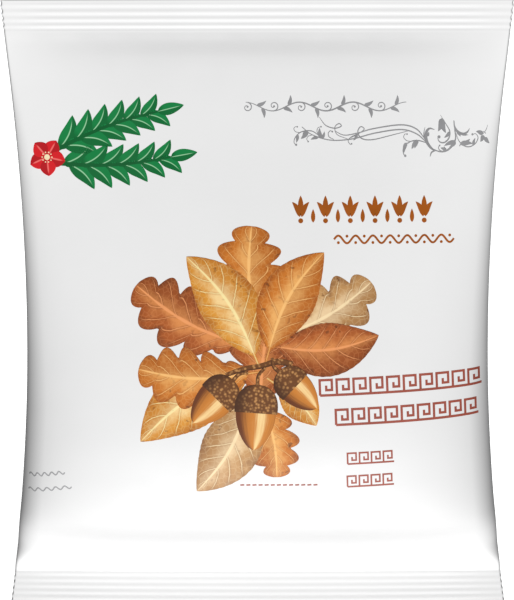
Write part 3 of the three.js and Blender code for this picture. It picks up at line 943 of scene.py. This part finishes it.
def sprig(foot, degrees, length, bend):
    """Sheets of a curved stem, and of its pairs of leaves with one at its end."""
    line = bowed_line(foot, degrees, length, bend, SPRIG_POINTS)
    stem = ribbon(line, np.linspace(0.75, 0.35, len(line)), 2)
    form = {"columns": 7, "rows": 18, "blunt": 0.75}
    blades = []
    for i in range(SPRIG_PAIRS):
        scale = 1 - SPRIG_TAPER * i / SPRIG_PAIRS
        size = [scale * side for side in SPRIG_LEAF]
        for n, side in enumerate((1, -1)):
            point, ahead = place_on(line, (i + 0.55 + 0.3 * n) / (SPRIG_PAIRS + 0.5))
            lean = ahead + side * SPRIG_LEAF_LEAN
            blades.append(teardrop(point, lean, *size, i % 2, bend=-0.22 * side, **form))
    point, ahead = place_on(line, 1)
    size = [SPRIG_END_LEAF * side for side in SPRIG_LEAF]
    blades.append(teardrop(point, ahead, *size, 3, **form))
    return stem, blades


def print_badge():
    """Two green sprigs that spread to the right, and a red flower at their foot."""
    (upper_stem, upper), (lower_stem, lower) = [sprig(*place) for place in SPRIGS]
    green = petal_material("green_leaf_ink", GREEN, DARK_GREEN, srgb(150, 205, 160))
    make_piece("printed_sprig_leaves", upper + lower, green)
    dark_green = ink_material("green_ink", DARK_GREEN)
    make_piece("printed_sprig_stems", [upper_stem, lower_stem], dark_green)
    centre = np.array(FLOWER_PLACE)
    red = petal_material("red_petal_ink", RED, srgb(168, 16, 26), srgb(238, 110, 105), 0.09)
    form = {"columns": 7, "rows": 14, "blunt": 1.1}
    petals = []
    for i in range(PETALS):
        petals.append(teardrop(centre, FIRST_PETAL + 360 / PETALS * i, *PETAL, 6 + i % 2, **form))
    make_piece("printed_flower", petals, red)
    eye = [disc(centre, EYE_RADIUS, 9)]
    for i in range(STAMENS):
        a = 2 * math.pi * i / STAMENS
        place = centre + STAMEN_RING * np.array([math.cos(a), math.sin(a)])
        eye.append(disc(place, STAMEN_RADIUS, 9, columns=5, rows=7))
    make_piece("printed_flower_eye", eye, ink_material("cream_ink", srgb(250, 232, 190)))


# The brown rows (mm)
PALMETTES = 6
PALMETTE_START = (15, 33.1)  # foot of the first one
PALMETTE_PITCH = 8.6
PALMETTE_SIZE = 7.2
BUD_Y = 31.2  # a bud stands between one palmette and the next
BUD = (4.6, 1.5)
WAVE_ENDS = (26.5, 68.5)
WAVE_Y = 25.4
WAVE_SWING = 1.3
WAVE_LENGTH = 6
WAVE_HALF_WIDE = 0.36
WAVE_POINTS = 150
DOTS_SWING = 1.1
DOT_RADIUS = 0.5


def palmette(x, y, size):
    """A pointed bud between two petals that lean outwards, over a small ball."""
    petals = []
    for side in (1, -1):
        foot = (x + 0.35 * side, y)
        lean = 90 - 27 * side
        petals.append(teardrop(foot, lean, size * 0.8, size * 0.27, bend=0.2 * side, blunt=0.8))
    bud = teardrop((x, y + 1.1), 90, size * 0.86, size * 0.26, 1, blunt=0.9)
    return petals + [bud, disc((x, y - 1.3), 0.85)]


def print_borders():
    """Brown palmettes over a running wave with dots, in two short rows."""
    brown = ink_material("brown_ink", BROWN)
    sheets = []
    for i in range(PALMETTES):
        x = PALMETTE_START[0] + PALMETTE_PITCH * i
        sheets += palmette(x, PALMETTE_START[1], PALMETTE_SIZE)
        if i < PALMETTES - 1:
            sheets.append(teardrop((x + PALMETTE_PITCH / 2, BUD_Y), 90, *BUD, blunt=0.8))
    make_piece("printed_palmettes", sheets, brown)
    x = np.linspace(*WAVE_ENDS, WAVE_POINTS)
    y = WAVE_Y + WAVE_SWING * np.sin(2 * np.pi * (x - WAVE_ENDS[0]) / WAVE_LENGTH)
    sheets = [ribbon(together(x, y), WAVE_HALF_WIDE)]
    crests = np.arange(WAVE_ENDS[0] + WAVE_LENGTH / 4, WAVE_ENDS[1], WAVE_LENGTH / 2)
    for i, x in enumerate(crests):
        place = (x, WAVE_Y - DOTS_SWING * (-1) ** i)
        sheets.append(disc(place, DOT_RADIUS, 1, columns=7, rows=9))
    make_piece("printed_wave", sheets, brown)


# Rows of the Greek key: lower left corner (mm), number of keys and their height
KEY_ROWS = [((21.5, -27.5), 10, 5.2), ((27, -37.5), 9, 5.1)]
SMALL_KEY_ROWS = [((31, -51), 4, 3.7), ((31, -59), 4, 3.7)]
KEY_LINE = 0.42  # half the width of the lines
SMALL_KEY_LINE = 0.3
KEY_PITCH = 1.12  # from one key to the next, in heights of a key
KEY_CLIMB = 2  # degrees by which the rows climb to the right
KEY = [(0, 0), (0, 1), (0.8, 1), (0.8, 0.34), (0.42, 0.34), (0.42, 0.64)]  # in its own height

# Dashes (mm)
DASH_ENDS = (-6, 20)
DASH_PITCH = 2.1
DASH = (1.4, 0.1)  # from its left end to its right one
DASH_Y = -58.2
DASH_HALF_WIDE = 0.28


def key_row(start, keys, size, half_wide):
    """A row of the Greek key, from its lower left corner, and the line below it."""
    sheets = []
    for i in range(keys):
        points = np.array(KEY) * size + np.array([i * size * KEY_PITCH, 0])
        sheets.append(cornered(turned(points, KEY_CLIMB, start), half_wide, i % 2))
    base = [(0, 0), (size * (KEY_PITCH * (keys - 1) + 1), 0)]
    sheets.append(cornered(turned(base, KEY_CLIMB, start), half_wide, 2))
    return sheets


def print_keys():
    """Rows of the Greek key, large and small, and a row of dashes, in brick red."""
    brick = ink_material("brick_ink", BRICK)
    for name, rows, half_wide in (
        ("printed_keys", KEY_ROWS, KEY_LINE),
        ("printed_small_keys", SMALL_KEY_ROWS, SMALL_KEY_LINE),
    ):
        sheets = []
        for row in rows:
            sheets += key_row(*row, half_wide)
        make_piece(name, sheets, brick)
    dashes = []
    for x in np.arange(*DASH_ENDS, DASH_PITCH):
        ends = [(x, DASH_Y), (x + DASH[0], DASH_Y + DASH[1])]
        dashes.append(ribbon(ends, DASH_HALF_WIDE))
    make_piece("printed_dashes", dashes, brick)


# Waves at the left side (mm): left end and length
SIDE_WAVES = [((-81, -58.5), 14), ((-81.5, -64), 17)]
SIDE_WAVE_CLIMB = 12
SIDE_WAVE_SWING = 0.55
SIDE_WAVE_TURNS = 5
SIDE_WAVE_HALF_WIDE = 0.24
SIDE_WAVE_POINTS = 60


def print_side_marks():
    """Two short grey waves low on the left side, climbing to the right."""
    grey = ink_material("pale_grey_ink", srgb(176, 176, 178))
    t = np.linspace(0, 1, SIDE_WAVE_POINTS)
    y = SIDE_WAVE_SWING * np.sin(2 * np.pi * SIDE_WAVE_TURNS * t)
    sheets = []
    for place, length in SIDE_WAVES:
        line = together(length * t, y)
        sheets.append(ribbon(turned(line, SIDE_WAVE_CLIMB, place), SIDE_WAVE_HALF_WIDE))
    make_piece("printed_side_marks", sheets, grey)


# --- The mushrooms ---
WELD_REACH = 0.01  # mm
SMOOTH_LEVELS = 2


def build_mushrooms():
    """Each frozen chanterelle again, smoother, from its own node."""
    look = mushroom_material()
    for name, node in sorted(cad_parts.items()):
        if not name.startswith("frozen_chanterelle"):
            continue
        mesh = node.data.copy()
        mesh.materials.clear()
        mesh.materials.append(look)
        piece = add_piece(name.replace("frozen", "whole"), mesh)
        weld = piece.modifiers.new("weld", "WELD")
        weld.merge_threshold = WELD_REACH * MM
        smoother = piece.modifiers.new("smoother", "SUBSURF")
        smoother.levels = SMOOTH_LEVELS
        smoother.render_levels = SMOOTH_LEVELS
        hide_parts(name)


# --- Camera, light and floor ---
CAMERA_PLACE = (-0.07, 80.5, 650)  # mm
CAMERA_TILT = -7  # degrees from straight down
CAMERA_TURN = -0.067  # degrees about +Z
CAMERA_LENS = 126  # mm, on a sensor this wide:
SENSOR_WIDTH = 36
KEY_ELEVATION = 62  # degrees above the floor, from the bottom end of the bag
KEY_TURN = 3  # degrees towards its right side
KEY_STRENGTH = 3.96
KEY_SPREAD = 10  # degrees
FILL_STRENGTH = 0.02
UNDER_STRENGTH = 0.6  # what a pale table would throw back on the underside alone
UNDER_SPREAD = 40
FLOOR_COLOUR = (0.96, 0.96, 0.96, 1)
FLOOR_GLOW = 0.3  # it shines a little, so that it looks white
FLOOR_HALF = 3000  # mm
FLOOR_DEPTH = 0.1  # mm below the bag


def build_camera():
    """The camera, over the top half of the bag and looking almost straight down."""
    camera = add_object("camera", bpy.data.cameras.new("camera"))
    camera.data.sensor_fit = "HORIZONTAL"
    camera.data.sensor_width = SENSOR_WIDTH
    camera.data.lens = CAMERA_LENS
    camera.location = [c * MM for c in CAMERA_PLACE]
    camera.rotation_euler = (math.radians(CAMERA_TILT), 0, math.radians(CAMERA_TURN))
    bpy.context.scene.camera = camera


def build_lamp(name, strength, spread, lean, turn):
    """A far lamp: lean is how far its light is turned from straight down, in degrees."""
    light = bpy.data.lights.new(name, "SUN")
    light.energy = strength
    light.angle = math.radians(spread)
    add_object(name, light).rotation_euler = (math.radians(lean), 0, math.radians(turn))


def build_light():
    """The key lamp, the lamp below, and a world that is white only to the camera."""
    build_lamp("key", KEY_STRENGTH, KEY_SPREAD, 90 - KEY_ELEVATION, KEY_TURN)
    build_lamp("under", UNDER_STRENGTH, UNDER_SPREAD, 180, 0)
    world = bpy.data.worlds.new("studio")
    world.use_nodes = True
    nodes = world.node_tree.nodes
    nodes["Background"].inputs["Color"].default_value = (1, 1, 1, 1)
    seen = nodes.new("ShaderNodeLightPath").outputs["Is Camera Ray"]
    strength = nodes.new("ShaderNodeMapRange")
    strength.inputs["To Min"].default_value = FILL_STRENGTH
    world.node_tree.links.new(seen, strength.inputs["Value"])
    world.node_tree.links.new(strength.outputs[0], nodes["Background"].inputs["Strength"])
    bpy.context.scene.world = world
    bpy.context.scene.view_settings.view_transform = "Standard"


def build_floor():
    """A white floor that takes the bag's shadow."""
    mesh = bpy.data.meshes.new("floor")
    corners = [(-1, -1), (1, -1), (1, 1), (-1, 1)]
    half = FLOOR_HALF * MM
    mesh.from_pydata([(x * half, y * half, -FLOOR_DEPTH * MM) for x, y in corners], [], [range(4)])
    nodes = Nodes("floor")
    nodes.finish(Base_Color=FLOOR_COLOUR, Roughness=0.9, Specular_IOR_Level=0)
    mesh.materials.append(nodes.finish(Emission_Color=(1, 1, 1, 1), Emission_Strength=FLOOR_GLOW))
    floor = add_object("floor", mesh)
    floor.visible_diffuse = False  # it throws no light on the bag, whose side edges stay dark
    floor.visible_glossy = False
    floor.visible_shadow = False  # the lamp below lights the underside through it


build_camera()
film_look = film_material()
build_film(film_look)
build_fin(film_look)
print_leaves()
print_vine()
print_scroll()
print_badge()
print_borders()
print_keys()
print_side_marks()
build_mushrooms()
build_light()
build_floor()
